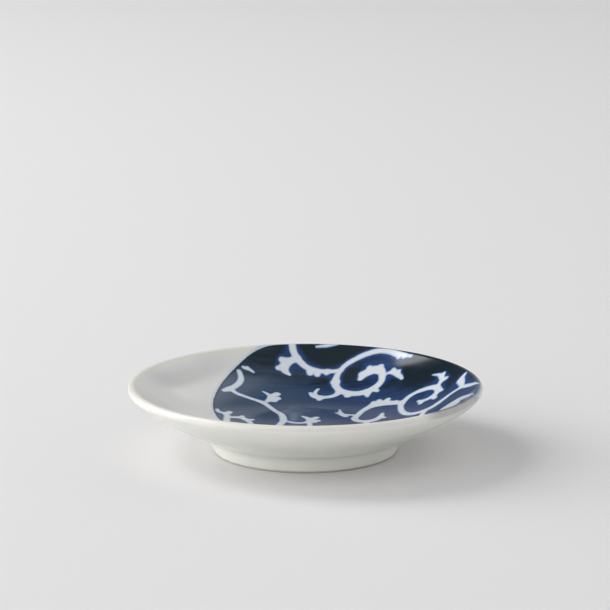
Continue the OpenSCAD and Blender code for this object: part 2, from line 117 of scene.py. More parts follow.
# The vine, read off and listed: brush strokes left white. Each point is [right, back, half width]
# in hundredths of RIM_R.
VINE_SHARES = [
    # Stem that comes in over the back of the lip, and its leaf
    [[-8, 101, 2.1], [-7.8, 95, 2.2], [-6.2, 90, 2.2], [-2.6, 85.2, 2.1], [0.8, 82, 2],
     [5, 79.8, 1.9], [10.4, 78.4, 1.7], [16.6, 77.8, 1.6], [20.6, 77.8, 1.5]],
    [[-4.4, 87.8, 2], [-8.4, 86.4, 2.4], [-11.4, 84.2, 3], [-12.6, 81.2, 2.9], [-11.8, 78.4, 2.2],
     [-9.4, 75.8, 1]],
    # Great scroll behind the middle, from the tip of its outer leaf to the curl's end
    [[62.2, 71.6, 0.8], [58.8, 74, 1.2], [54.8, 77.2, 1.9], [49.4, 81.6, 1.7], [42.8, 84.6, 1.6],
     [35.6, 85, 1.7], [29.6, 83.8, 1.7], [24.8, 81.8, 1.7], [21.6, 79, 1.7], [19, 74.8, 1.8],
     [17.8, 70.4, 2.3], [17.6, 66, 2.5], [18.6, 62, 2.3], [21, 57.8, 2.6], [25.6, 54.2, 3],
     [31.2, 52.8, 3], [36.6, 54.2, 2.8], [41, 57, 2.5], [44, 60.8, 2.2], [45, 65.6, 2.2],
     [44.4, 70, 2.6], [41.6, 72.4, 3], [37.8, 72.4, 3.2], [34.4, 70.8, 2.6], [32.2, 68, 1.8]],
    # Small leaf to the right of the great scroll
    [[46.2, 66, 0.8], [49.4, 66.6, 1.3], [52, 65.6, 2], [53.8, 62.6, 1.8], [55.4, 59.8, 1.5],
     [56.2, 57.6, 1.1]],
    # Shoot to the left of the great scroll, and the hook on it
    [[19.6, 58.6, 2], [18.4, 54.8, 2], [15.6, 52.4, 2], [11.6, 51.4, 2], [7.8, 51.6, 2.6],
     [4.8, 53.8, 2.2], [2.8, 57.4, 1.2]],
    [[6, 53.6, 1.6], [5.6, 57.2, 1.3], [6.4, 60.2, 1.2], [7.4, 61.8, 1]],
    # Leaf that just shows under the back of the lip
    [[6.4, 94.8, 0.6], [12, 95, 1.1], [19, 95.2, 0.8]],
    # Stem along the panel's left edge and its broad lobe
    [[-39, 72, 1.6], [-37.8, 67, 1.9], [-38.8, 62, 1.9], [-41.6, 56.8, 1.9], [-44.8, 52.8, 2.2],
     [-47.6, 50, 1.4]],
    [[-43.6, 53.4, 1.8], [-40, 50, 1.7], [-34.4, 47.4, 1.6], [-28.6, 44.4, 1.7], [-25, 42, 2.1],
     [-22.4, 38.4, 1.8], [-19.6, 32.8, 1.7], [-16.2, 25.4, 1.8], [-14, 20, 2],
     [-12.8, 12.4, 2.2], [-12.6, 5, 2.2], [-13.6, 0, 2.2], [-15.4, -6.6, 2.1], [-18.6, -14, 2],
     [-18.4, -23, 2.2], [-13, -31, 2.4], [-3, -34.4, 2.4], [5, -30.6, 2.2], [7.6, -23.6, 2],
     [3.6, -18.4, 2], [-3, -18.8, 2.4], [-5.6, -23, 2]],
    # Leaf on that stem
    [[-22.4, 43.6, 1.6], [-20.2, 48.6, 2.2], [-21, 53, 1.6], [-24.8, 56.8, 0.7]],
    # Small leaf by the panel's upper left edge
    [[-36.6, 76, 1.2], [-33.4, 75.7, 1.3], [-30.7, 74.1, 0.9]],
    # Pair of leaves at the panel's left, and the stems that carry them to the front
    [[-50.4, 21.6, 1.1], [-49.8, 18, 1.6], [-46.8, 16.4, 1.9], [-44.8, 13.2, 2], [-44.6, 8.4, 2],
     [-44.6, 2, 2.1], [-43, -6, 1.8], [-37, -14, 1.6], [-28, -18, 1.6], [-20, -16, 1.6]],
    [[-43.6, 10, 1.6], [-37, 11, 2.2], [-33.4, 6.8, 1.9], [-31, 0, 1.6], [-30.4, -6, 1.4],
     [-33.4, -12, 1.3]],
    # Leaf in the middle of the well, and the twig that carries it
    [[-11, 4.8, 1], [-8.4, 2, 1.4], [-5.2, 0.4, 1.5], [-1.2, 0.6, 1.6], [2.2, 3.6, 2.4],
     [2.2, 9, 2.2], [-0.4, 13.8, 1.6], [-1.6, 15.8, 1]],
    [[2.4, 3, 1.8], [2.4, -4.2, 1.6], [3.4, -11, 1.5], [10, -16.6, 1.6], [19, -18, 1.5],
     [27, -14.6, 1.4], [31.6, -10, 1.5]],
    # Scroll at the right, from its junction up to the curl's end
    [[55.6, 27.6, 1.8], [57.2, 31.6, 1.9], [59.6, 35, 1.9], [63.2, 37, 1.9], [66.8, 37.2, 2.1],
     [71.2, 36, 2.2], [74.6, 33.4, 2.3], [76, 29.6, 2.2], [75.4, 26, 2.1], [72.8, 23.4, 2.1],
     [69.2, 22.4, 1.9], [66, 23, 1.7], [64.8, 24.6, 1.1]],
    # Tuft on it
    [[76.2, 33.4, 1.6], [78.6, 37.4, 1.6], [78.6, 41.4, 1.5], [77, 44.4, 1.1], [73.8, 47.6, 0.5]],
    # Stem from the junction down, and along to the right of the lip
    [[54.8, 30.8, 2], [54.6, 24.8, 1.9], [54.6, 18.4, 1.9], [55.6, 12.4, 2], [58, 7.4, 2.3],
     [62.4, 4.8, 2.5], [67.2, 4.8, 2.5], [72, 6.4, 2.3], [77.2, 10, 2], [82, 12.8, 1.7],
     [86.8, 13.2, 1.6], [89.8, 11.2, 1.6], [92.6, 6.4, 1.5], [95.4, 1, 1.3], [97.2, -2.8, 0.9]],
    [[89, 13.6, 1.5], [89, 18.6, 2], [88.8, 23.4, 2.4], [91.2, 26, 1.4]],
    # Twig under that stem
    [[68.4, 5, 1.6], [66.4, 0, 1.7], [65, -5, 1.7], [64.4, -11, 1.7], [68, -19, 1.7],
     [74, -21.6, 1.6], [78.6, -20.6, 1.1]],
    # Scroll at the middle right, from the junction to its inner end
    [[55.2, 29.4, 2], [51.4, 31, 2.4], [47, 33.4, 3.4], [42.6, 34.2, 3.9], [38.6, 32.6, 3],
     [35, 29, 2.2], [32.2, 24.4, 1.9], [30.4, 19.4, 1.9], [28.8, 14.6, 2], [28, 9.6, 2.3],
     [29.6, 5.2, 2.6], [33.6, 3.6, 2.8], [37.8, 4.6, 2.5], [41, 7.8, 2.2], [43, 12, 1.8],
     [44, 17.2, 1.1]],
    # Leaf to the left of that scroll
    [[28.8, 17.8, 1.4], [25.2, 18.6, 1.8], [22, 18.6, 2.5], [20.2, 22, 1.8], [19.8, 26, 1.2],
     [19.8, 30.4, 0.5]],
    # Scroll in the front of the well
    [[35.4, 3.4, 1.8], [33, -5, 1.8], [30, -15, 2], [30, -27, 2.2], [36, -38, 2.4],
     [47, -42.6, 2.4], [57, -37, 2.2], [58.6, -26, 2], [51.6, -19.4, 2], [43.6, -22, 2.2],
     [42, -28, 2.4]],
    [[57, -37.6, 1.8], [66, -42, 1.8], [76, -38.4, 1.7], [84, -31, 1]],
    # Long leaf beside the right of the lip
    [[75, -14, 1.4], [77.6, -8.4, 2.4], [81.4, -6, 2.6], [85.6, -6.6, 2.8], [88.6, -11.6, 2.4],
     [91.2, -19.4, 1.8], [92.8, -29, 0.9]],
]

# The lobes on it, the same way
LOBE_SHARES = [
    # Under the stem at the back
    [[2.6, 78.8, 1.8], [2.8, 77.4, 1.7]], [[6.6, 78.4, 1.8], [7, 76, 1.6]],
    [[12.8, 78, 1.6], [12.4, 76.8, 1.4]],
    # Leaf at the back
    [[-10.8, 85.6, 2], [-14, 86.4, 1.7]], [[-12.8, 81.4, 2], [-16.2, 80.4, 1.4]],
    # Great scroll's curl, its leaf below and its shoulder
    [[38, 73, 2.2], [37.6, 75.2, 1.4]], [[43, 71, 2.2], [44.2, 73.4, 1.6]],
    [[34.4, 71.2, 2], [33.2, 71.6, 1.9]], [[35.8, 52, 2.6], [36, 47, 0.5]],
    [[39.6, 54.8, 2.2], [41.8, 52, 1]], [[24.6, 53.6, 2.2], [24.6, 51.2, 1.8]],
    [[18, 68.4, 2.2], [16.8, 68.2, 2]], [[54.8, 76, 1], [54.6, 75.2, 0.8]],
    [[58.2, 74.2, 0.8], [57.8, 73.6, 0.6]],
    # Small leaf to its right
    [[51.6, 66.4, 1.4], [51.6, 67.8, 1.1]], [[54, 64, 1.4], [54.8, 65, 0.9]],
    # Shoot to its left
    [[8.6, 51.6, 2], [8, 48.4, 1.4]],
    # Leaf on the long stem
    [[-19.6, 52.4, 1.6], [-16.6, 55, 1.9]], [[-20, 48.6, 1.8], [-16.8, 49.2, 2.4]],
    [[-21, 46, 1.6], [-18.2, 45.6, 1.9]],
    # Small leaf by the edge
    [[-34.6, 76, 0.8], [-34.2, 76.8, 0.5]],
    # Pair of leaves at the left
    [[-44.6, 17, 1.8], [-43.4, 19.8, 1.5]], [[-36.6, 11.4, 1.6], [-36, 14.2, 1.1]],
    [[-33.4, 7, 1.6], [-30.6, 7.6, 1.6]],
    # Leaf in the middle
    [[3, 8.4, 2], [6.2, 12.6, 1.7]], [[3.4, 5, 2], [6.6, 5.4, 1.9]],
    [[3, 2.8, 1.6], [5.4, 2.2, 1.2]],
    # Curl and tuft at the right
    [[73, 23, 1.6], [73.8, 19.4, 1.2]], [[66.4, 22, 1.6], [65.6, 19.8, 1.1]],
    [[76.6, 27.6, 1.4], [78, 25.2, 0.8]], [[78.4, 40.8, 1.2], [79.8, 42.4, 1]],
    [[78.6, 36.6, 1.4], [80.8, 36.4, 1.2]],
    # Crown of the scroll at the middle right
    [[38.8, 34.6, 1.8], [39.4, 37.8, 1.4]], [[42.4, 36.4, 2], [42.6, 39.2, 1.4]],
    [[46.4, 36, 2], [47.6, 38.8, 1.4]], [[50.6, 32.6, 1.6], [52, 33.2, 1.3]],
    [[43, 9.4, 1.6], [44.8, 8.6, 1]],
    # Leaf to the left of it
    [[22.2, 17, 1.8], [22.8, 15.2, 1.4]], [[20, 22, 1.4], [18, 22.8, 0.8]],
    # Curl in the front left
    [[-3, -18.4, 1.8], [-5.4, -15.6, 1.4]], [[2.4, -18.6, 1.8], [3.4, -14.6, 1.4]],
    [[-10, -33, 2], [-11.6, -37, 1.2]], [[-4, -35, 2], [-3.6, -38.8, 1]],
    [[-20, -16, 1.5], [-22.6, -12.6, 1]],
    # Curl and leaves in the front right
    [[45, -21.4, 1.8], [41.6, -18, 1.4]], [[42.4, -26, 1.8], [38.4, -24.6, 1.3]],
    [[34, -36.6, 2], [30.4, -39, 1.1]], [[47, -43, 2], [47.4, -47, 0.9]],
    [[31, -10.4, 1.4], [34.6, -8, 1]], [[67, -42, 1.6], [67.4, -46, 0.9]],
    [[75, -38.8, 1.5], [77.4, -42, 0.8]], [[75, -22.4, 1.4], [75.6, -25.4, 0.9]],
    # Fullness of the long leaf beside the lip
    [[81, -8.4, 2.8], [79.4, -16, 2.4]], [[85, -9, 2.6], [84, -15.6, 2]],
]


def direction(degrees):
    """The unit vector at an angle from the right."""
    turn = math.radians(degrees)
    return np.array([math.cos(turn), math.sin(turn)])


def arc(centre, radius, start, end, steps, hollow=False):
    """Points of an arc, and the normals that point out of the clay."""
    turns = np.radians(np.linspace(start, end, steps + 1))
    out = np.stack([np.cos(turns), np.sin(turns)], 1)
    return np.array(centre) + radius * out, -out if hollow else out


def curve(a, b, c, d, steps):
    """Points of a cubic curve, and the normals on its right."""
    t = np.linspace(0, 1, steps + 1)[:, None]
    s = 1 - t
    points = s ** 3 * a + 3 * s * s * t * b + 3 * s * t * t * c + t ** 3 * d
    way = s * s * (b - a) + 2 * s * t * (c - b) + t * t * (d - c)
    way /= np.linalg.norm(way, axis=1)[:, None]
    return points, np.stack([way[:, 1], -way[:, 0]], 1)


def joined(*parts):
    """One run of points and normals from several, each starting where the last one ends."""
    first, *others = parts
    return [np.concatenate([first[k]] + [part[k][1:] for part in others]) for k in (0, 1)]


def way_along(points):
    """How far each point of a run is from its start."""
    return np.concatenate([[0], np.cumsum(np.linalg.norm(np.diff(points, axis=0), axis=1))])


def respaced(profile, cell):
    """The same run with even steps."""
    way = way_along(profile[0])
    at = np.linspace(0, way[-1], max(2, int(round(way[-1] / cell)) + 1))
    points, normals = [np.stack([np.interp(at, way, row) for row in v.T], 1) for v in profile]
    return points, normals / np.linalg.norm(normals, axis=1)[:, None]


def tangent(degrees):
    """The rise per run of a slope."""
    return math.tan(math.radians(degrees))


# Where the runs of the profile meet, as [radius, height]
lip_at = np.array([RIM_R - LIP_R, DISH_H - LIP_R])
edge_r = FOOT_EDGE_R + GLAZE_T
foot_top = np.array([FOOT_R + FOOT_H * tangent(FOOT_LEAN), FOOT_H])
joint_run = POOL_R * tangent((90 - FOOT_LEAN - WALL_FOOT_SLOPE) / 2)
joint_at = foot_top - joint_run * direction(FOOT_LEAN)[::-1] + POOL_R * direction(-FOOT_LEAN)
wall_start = foot_top + joint_run * direction(WALL_FOOT_SLOPE)
outer_lip = lip_at + LIP_R * direction(WALL_LIP_SLOPE - 90)
inner_lip = lip_at + LIP_R * direction(WELL_LIP_SLOPE + 90)
floor_edge = np.array([FLOOR_R, FLOOR_Z])
foot_in_r = FOOT_R - FOOT_W
ceiling_z = HOLLOW_H - HOLLOW_RISE
ceiling_r = foot_in_r - ceiling_z * tangent(FOOT_LEAN)


def outer_face():
    """Up the foot, round the joint, along the wall and round the lip to its widest point."""
    run = np.linalg.norm(outer_lip - wall_start)
    return joined(
        arc((FOOT_R - edge_r, FOOT_EDGE_R), edge_r, -90, -FOOT_LEAN, ARC_STEPS),
        arc(joint_at, POOL_R, 180 - FOOT_LEAN, 90 + WALL_FOOT_SLOPE, ARC_STEPS, hollow=True),
        curve(wall_start,
              wall_start + run * OUTER_HANDLE_SHARES[0] * direction(WALL_FOOT_SLOPE),
              outer_lip - run * OUTER_HANDLE_SHARES[1] * direction(WALL_LIP_SLOPE),
              outer_lip, WALL_STEPS),
        arc(lip_at, LIP_R, WALL_LIP_SLOPE - 90, 0, ARC_STEPS))


def inner_face():
    """From the lip's widest point over the lip and down the well to the axis."""
    run = np.linalg.norm(inner_lip - floor_edge)
    points, normals = joined(
        arc(lip_at, LIP_R, 0, 90 + WELL_LIP_SLOPE, LIP_STEPS),
        curve(inner_lip,
              inner_lip - run * INNER_HANDLE_SHARES[0] * direction(WELL_LIP_SLOPE),
              floor_edge + run * INNER_HANDLE_SHARES[1] * direction(WELL_FLOOR_SLOPE),
              floor_edge, WELL_STEPS),
        (np.stack([np.linspace(FLOOR_R, 0, FLOOR_POINTS), np.full(FLOOR_POINTS, FLOOR_Z)], 1),
         np.tile([0.0, 1.0], (FLOOR_POINTS, 1))))
    # The glaze levels out over the crease at the floor's edge.
    near = np.abs(points[:, 0] - FLOOR_R) < 2 * CREASE_R
    eased = normals.copy()
    for i in np.flatnonzero(near):
        weight = np.exp(-((points[:, 0] - points[i, 0]) / (CREASE_R / 2)) ** 2)
        eased[i] = (normals * weight[:, None]).sum(0)
    eased /= np.linalg.norm(eased, axis=1)[:, None]
    return points, eased


def under_face():
    """From the axis along the hollow's ceiling and down the inside of the foot."""
    corner = arc((ceiling_r - JOINT_R, ceiling_z - JOINT_R), JOINT_R, 90, FOOT_LEAN, ARC_STEPS,
                 hollow=True)
    run = np.linspace(0, 1, CEILING_POINTS)[:, None]
    start = np.array([0, HOLLOW_H])
    ceiling = start + run * (corner[0][0] - start)
    return joined((ceiling, np.tile([0.0, -1.0], (CEILING_POINTS, 1))), corner,
                  arc((foot_in_r + edge_r, FOOT_EDGE_R), edge_r, 180 + FOOT_LEAN, 270, ARC_STEPS))


def cut_above(profile, height):
    """The part of a run above a height, ending just at it."""
    rows = np.hstack(profile)
    level = rows[:, 1]
    above = np.flatnonzero(level >= height)
    first, last = above[0], above[-1]

    def crossing(i, j):
        return rows[i] + (height - level[i]) / (level[j] - level[i]) * (rows[j] - rows[i])

    before = [crossing(first, first - 1)] if first > 0 else []
    after = [crossing(last, last + 1)] if last < len(level) - 1 else []
    rows = np.array([*before, *rows[first:last + 1], *after])
    points, normals = rows[:, :2], rows[:, 2:]
    return points, normals / np.linalg.norm(normals, axis=1)[:, None]


def stroke_path(points):
    """A smooth run of [right, back, half width] through the points of a brush stroke."""
    p = np.array(points, float) * RIM_R / 100
    if len(p) == 2:
        return p
    last = len(p) - 1
    run = []
    for i in range(last):
        a, b, c, d = p[max(i - 1, 0)], p[i], p[i + 1], p[min(i + 2, last)]
        for t in np.arange(STROKE_STEPS) / STROKE_STEPS:
            run.append((2 * b + (c - a) * t + (2 * a - 5 * b + 4 * c - d) * t * t
                        + (3 * b - a - 3 * c + d) * t ** 3) / 2)
    return np.array(run + [p[last]])


def stroke_distance(x, y, path):
    """Signed distance from plan points to one stroke, negative in it."""
    best = np.full(x.shape, np.inf)
    for a, b in zip(path[:-1], path[1:]):
        way = b - a
        t = ((x - a[0]) * way[0] + (y - a[1]) * way[1]) / (way[0] ** 2 + way[1] ** 2)
        t = np.clip(t, 0, 1)
        gap = np.hypot(x - a[0] - t * way[0], y - a[1] - t * way[1]) - a[2] - t * way[2]
        best = np.minimum(best, gap)
    return best


def wobble(x, y):
    """A slow unevenness between -1 and 1, the same each run."""
    return sum(np.sin(a * x + b * y + shift) for a, b, shift in WAVES) / len(WAVES)


paths = [stroke_path(s) for s in VINE_SHARES]
paths += [stroke_path(s) + [0, 0, LOBE_SWELL] for s in LOBE_SHARES]


def flowing(first, second, width):
    """The lower of two distances, rounded where they are about the same."""
    share = np.clip(0.5 + 0.5 * (first - second) / width, 0, 1)
    return first + share * (second - first) - width * share * (1 - share)


def vine_distance(x, y):
    """Signed distance from plan points to the vine, strokes flowing together where they meet."""
    best = np.full(x.shape, FAR)
    for path in paths:
        low, high = path[:, :2].min(0) - FAR, path[:, :2].max(0) + FAR
        near = (x > low[0]) & (x < high[0]) & (y > low[1]) & (y < high[1])
        if not near.any():
            continue
        gap = stroke_distance(x[near], y[near], path)
        best[near] = flowing(best[near], gap, JOIN)
    return best + WOBBLE * wobble(x, y)


def closeness(x, y):
    """How much of the vine lies round each plan point, highest inside its curls."""
    total = np.zeros(x.shape)
    for path in paths:
        middles = (path[:-1] + path[1:]) / 2
        areas = 2 * middles[:, 2] * np.linalg.norm(np.diff(path[:, :2], axis=0), axis=1)
        for (a, b, _), area in zip(middles, areas):
            total += area * np.exp(-((x - a) ** 2 + (y - b) ** 2) / (2 * CLOSE_R ** 2))
    return total / (2 * math.pi * CLOSE_R ** 2)


def panel_distance(x, y):
    """Distance inside the painted panel's edge."""
    return PANEL_R - np.hypot(x - PANEL_AT[0], y - PANEL_AT[1]) + WOBBLE * wobble(y, x)


def limit_distance(x, y):
    """Distance inside the line where the paint ends on the lip."""
    at = (FAR_GAP - SPILL_GAP) / 2 * direction(SPILL_TURN)
    return LIMIT_R - np.hypot(x - at[0], y - at[1]) + WOBBLE * wobble(y, x)


def smear_share(x, y, over):
    """How thick the smear of paint lies on the lip, 0 to 1. The way over the lip is the radius
    inside and goes on past the lip's widest point with the way down the outside."""
    turn = np.degrees(np.arctan2(y, x))
    start, end = SMEAR_TURNS
    middle, half = (start + end) / 2, (end - start) / 2
    along = np.radians(half - np.abs(turn - middle)) * RIM_R + SMEAR_WOBBLE * wobble(x, y)
    return np.interp(over, SMEAR_WAY, SMEAR_SHARES) * np.clip(along / SMEAR_END, 0, 1)


def ring_count(radius):
    """Points in a ring of the dish's inside."""
    return next(count for limit, count in RING_COUNTS if radius >= limit)


def disc_grid(radii):
    """Plan points of rings that get coarser inwards, down to one point, and their triangles."""
    plan, starts, counts = [], [], []
    for radius in radii[:-1]:
        count = ring_count(radius)
        turns = np.arange(count) * 2 * math.pi / count
        starts.append(sum(counts))
        counts.append(count)
        plan.append(np.stack([radius * np.cos(turns), radius * np.sin(turns)], 1))
    plan.append(np.zeros((1, 2)))
    triangles = []
    for outer, inner, n, m in zip(starts, starts[1:], counts, counts[1:]):
        j = np.arange(m)
        after = (j + 1) % m
        if n == m:
            a, b, c, d = outer + j, outer + after, inner + after, inner + j
            swap = (j % 2 == 0)[:, None]
            triangles += [np.where(swap, np.stack([a, b, c], 1), np.stack([a, b, d], 1)),
                          np.where(swap, np.stack([a, c, d], 1), np.stack([b, c, d], 1))]
        else:
            a, b, c = outer + 2 * j, outer + 2 * j + 1, outer + (2 * j + 2) % n
            triangles += [np.stack([a, b, inner + j], 1),
                          np.stack([b, inner + after, inner + j], 1),
                          np.stack([b, c, inner + after], 1)]
    j = np.arange(counts[-1])
    centre = np.full(counts[-1], sum(counts))
    triangles.append(np.stack([starts[-1] + j, starts[-1] + (j + 1) % counts[-1], centre], 1))
    return np.concatenate(plan), np.concatenate(triangles)


def cut_along(plan, triangles, field):
    """Cut the triangles along the line where a field of the plan is zero."""
    value = field(plan[:, 0], plan[:, 1])
    value[np.abs(value) < SNAP] = SNAP
    inside = value > 0
    count = inside[triangles].sum(1)
    crossed = (count == 1) | (count == 2)
    made, order, new = {}, [], []

    def crossing(i, j):
        key = (i, j) if i < j else (j, i)
        if key not in made:
            made[key] = len(plan) + len(order)
            order.append(key)
        return made[key]

    for a, b, c in triangles[crossed].tolist():
        if inside[a] == inside[b]:
            a, b, c = c, a, b
        elif inside[a] == inside[c]:
            a, b, c = b, c, a
        p, q = crossing(a, b), crossing(a, c)
        new += [(a, p, q), (p, b, c), (p, c, q)]
    if not order:
        return plan, triangles
    i, j = np.array(order).T
    t = (value[i] / (value[i] - value[j]))[:, None]
    plan = np.concatenate([plan, plan[i] + t * (plan[j] - plan[i])])
    return plan, np.concatenate([triangles[~crossed], np.array(new)])


def shown(name, data):
    """A new object in the scene."""
    made = bpy.data.objects.new(name, data)
    bpy.context.scene.collection.objects.link(made)
    return made


def skin(name, tops, normals, faces, depths, marks):
    """A closed piece: a face, the same face at a depth below it, and walls between the two. Each
    mark is a value per point that its material reads."""
    count = len(tops)
    bottoms = tops - normals * np.broadcast_to(depths, count)[:, None]
    edges = np.concatenate([np.stack([f, np.roll(f, -1, axis=1)], -1).reshape(-1, 2)
                            for f in faces])
    ahead = edges[:, 0] * count + edges[:, 1]
    back = edges[:, 1] * count + edges[:, 0]
    open_edges = edges[~np.isin(ahead, back)]
    a, b = open_edges.T
    walls = np.stack([b, a, a + count, b + count], 1)
    points = np.concatenate([tops, bottoms])
    polygons, corner_normals = [], []
    for f, shift, side in [(f, 0, 1) for f in faces] + [(f[:, ::-1], count, -1) for f in faces]:
        polygons += (f + shift).tolist()
        corner_normals.append(side * normals[f].reshape(-1, 3))
    polygons += walls.tolist()
    wall_normals = np.cross(points[a] - points[b], points[a + count] - points[a])
    wall_normals /= np.maximum(np.linalg.norm(wall_normals, axis=1), TINY)[:, None]
    corner_normals.append(np.repeat(wall_normals, 4, axis=0))
    mesh = bpy.data.meshes.new(name)
    mesh.from_pydata((points * MM).tolist(), [], polygons)
    mesh.shade_smooth()
    mesh.normals_split_custom_set(np.concatenate(corner_normals).tolist())
    for key, values in marks.items():
        layer = mesh.attributes.new(key, "FLOAT", "POINT")
        layer.data.foreach_set("value", np.concatenate([values, values]).astype(np.float32))
    return shown(name, mesh)


def swept(rows, count):
    """Each [radius, height] of some rows, turned round the axis into a ring."""
    turns = np.arange(count) * 2 * math.pi / count
    circle = np.stack([np.cos(turns), np.sin(turns)], 1)
    flat = rows[:, None, :1] * circle[None]
    return np.concatenate([flat, np.repeat(rows[:, None, 1:], count, 1)], -1).reshape(-1, 3)


def turned(profile, count):
    """Points, normals and faces of a run turned round the axis. A run that starts on the
    axis gets one point there."""
    points, normals = profile
    capped = int(points[0, 0] < ON_AXIS)
    places, ways = swept(points[capped:], count), swept(normals[capped:], count)
    i, j = np.meshgrid(np.arange(len(points) - capped - 1), np.arange(count), indexing="ij")
    start, after = i * count, (j + 1) % count
    quads = np.stack([start + j, start + after, start + count + after, start + count + j], -1)
    faces = [quads.reshape(-1, 4)]
    if capped:
        centre = len(places)
        places = np.concatenate([places, [[0, 0, points[0, 1]]]])
        ways = np.concatenate([ways, [[0, 0, normals[0, 1]]]])
        j = np.arange(count)
        faces.append(np.stack([np.full(count, centre), (j + 1) % count, j], 1))
    return places, ways, faces


def facing_out(places, ways, faces):
    """The same faces, turned over where they face against the normals."""
    out = []
    for f in faces:
        face = np.cross(places[f[:, 1]] - places[f[:, 0]], places[f[:, 2]] - places[f[:, 1]])
        wrong = (face * ways[f].sum(1)).sum(1) < 0
        out.append(np.where(wrong[:, None], f[:, ::-1], f))
    return out


def rounded_end(points, low):
    """How far the glaze has sunk, at each point, where it rounds down to the clay at an end."""
    way = way_along(points)
    u = np.clip(1 - (way if low else way[-1] - way) / GLAZE_T, 0, 1)
    return GLAZE_T * (1 - np.sqrt(1 - u * u * GLAZE_ROLL))


def lathe_skin(name, profile, count, low_end):
    """A turned skin of glaze whose end by the bare clay is a rounded roll. Smeared paint that
    runs over the lip fades out on it."""
    points, normals = profile
    sink = rounded_end(points, low_end)
    moved = points - normals * sink[:, None]
    places, ways, faces = turned((moved, normals), count)
    faces = facing_out(places, ways, faces)
    depth = np.repeat(GLAZE_T - sink, count)
    if len(places) % count:  # the ring on the axis is one point, kept last
        depth = np.concatenate([depth[count:], [GLAZE_T]])
    x, y, z = places.T
    smear = smear_share(x, y, RIM_R + lip_at[1] - z)
    return skin(name, places, ways, faces, depth, {"smear": smear})


def lathe_solid(name, section, count):
    """A closed section turned round the axis, sharp at its corners."""
    i, j = np.meshgrid(np.arange(len(section)), np.arange(count), indexing="ij")
    start, after, below = i * count, (j + 1) % count, (i + 1) % len(section) * count
    quads = np.stack([start + j, below + j, below + after, start + after], -1)
    mesh = bpy.data.meshes.new(name)
    mesh.from_pydata((swept(section, count) * MM).tolist(), [], quads.reshape(-1, 4).tolist())
    mesh.shade_smooth()
    mesh.set_sharp_from_angle(angle=math.radians(SHARP_ANGLE))
    return shown(name, mesh)


def srgb(red, green, blue):
    """A colour as it reads in a picture, 0 to 255, made linear."""
    parts = [c / 255 for c in (red, green, blue)]
    linear = [c / 12.92 if c <= 0.04045 else ((c + 0.055) / 1.055) ** 2.4 for c in parts]
    return (*linear, 1.0)


class Nodes:
    """A node tree, and what its patterns are made of."""

    def __init__(self, tree):
        self.nodes, self.links = tree.nodes, tree.links

    def put(self, socket, value):
        """Link a socket to a value that is a node's output, or else set it."""
        if isinstance(value, bpy.types.NodeSocket):
            self.links.new(value, socket)
        else:
            socket.default_value = value

    def add(self, kind, inputs=(), **settings):
        made = self.nodes.new("ShaderNode" + kind)
        for key, value in settings.items():
            setattr(made, key, value)
        for socket, value in dict(inputs).items():
            self.put(made.inputs[socket], value)
        return made

    def ramp(self, value, start, end, low=0.0, high=1.0, kind="SMOOTHSTEP"):
        """From low to high as the value goes from start to end."""
        if start > end:
            start, end, low, high = end, start, high, low
        made = self.add("MapRange", {"Value": value, "From Min": start, "From Max": end,
                                     "To Min": low, "To Max": high}, interpolation_type=kind)
        return made.outputs["Result"]


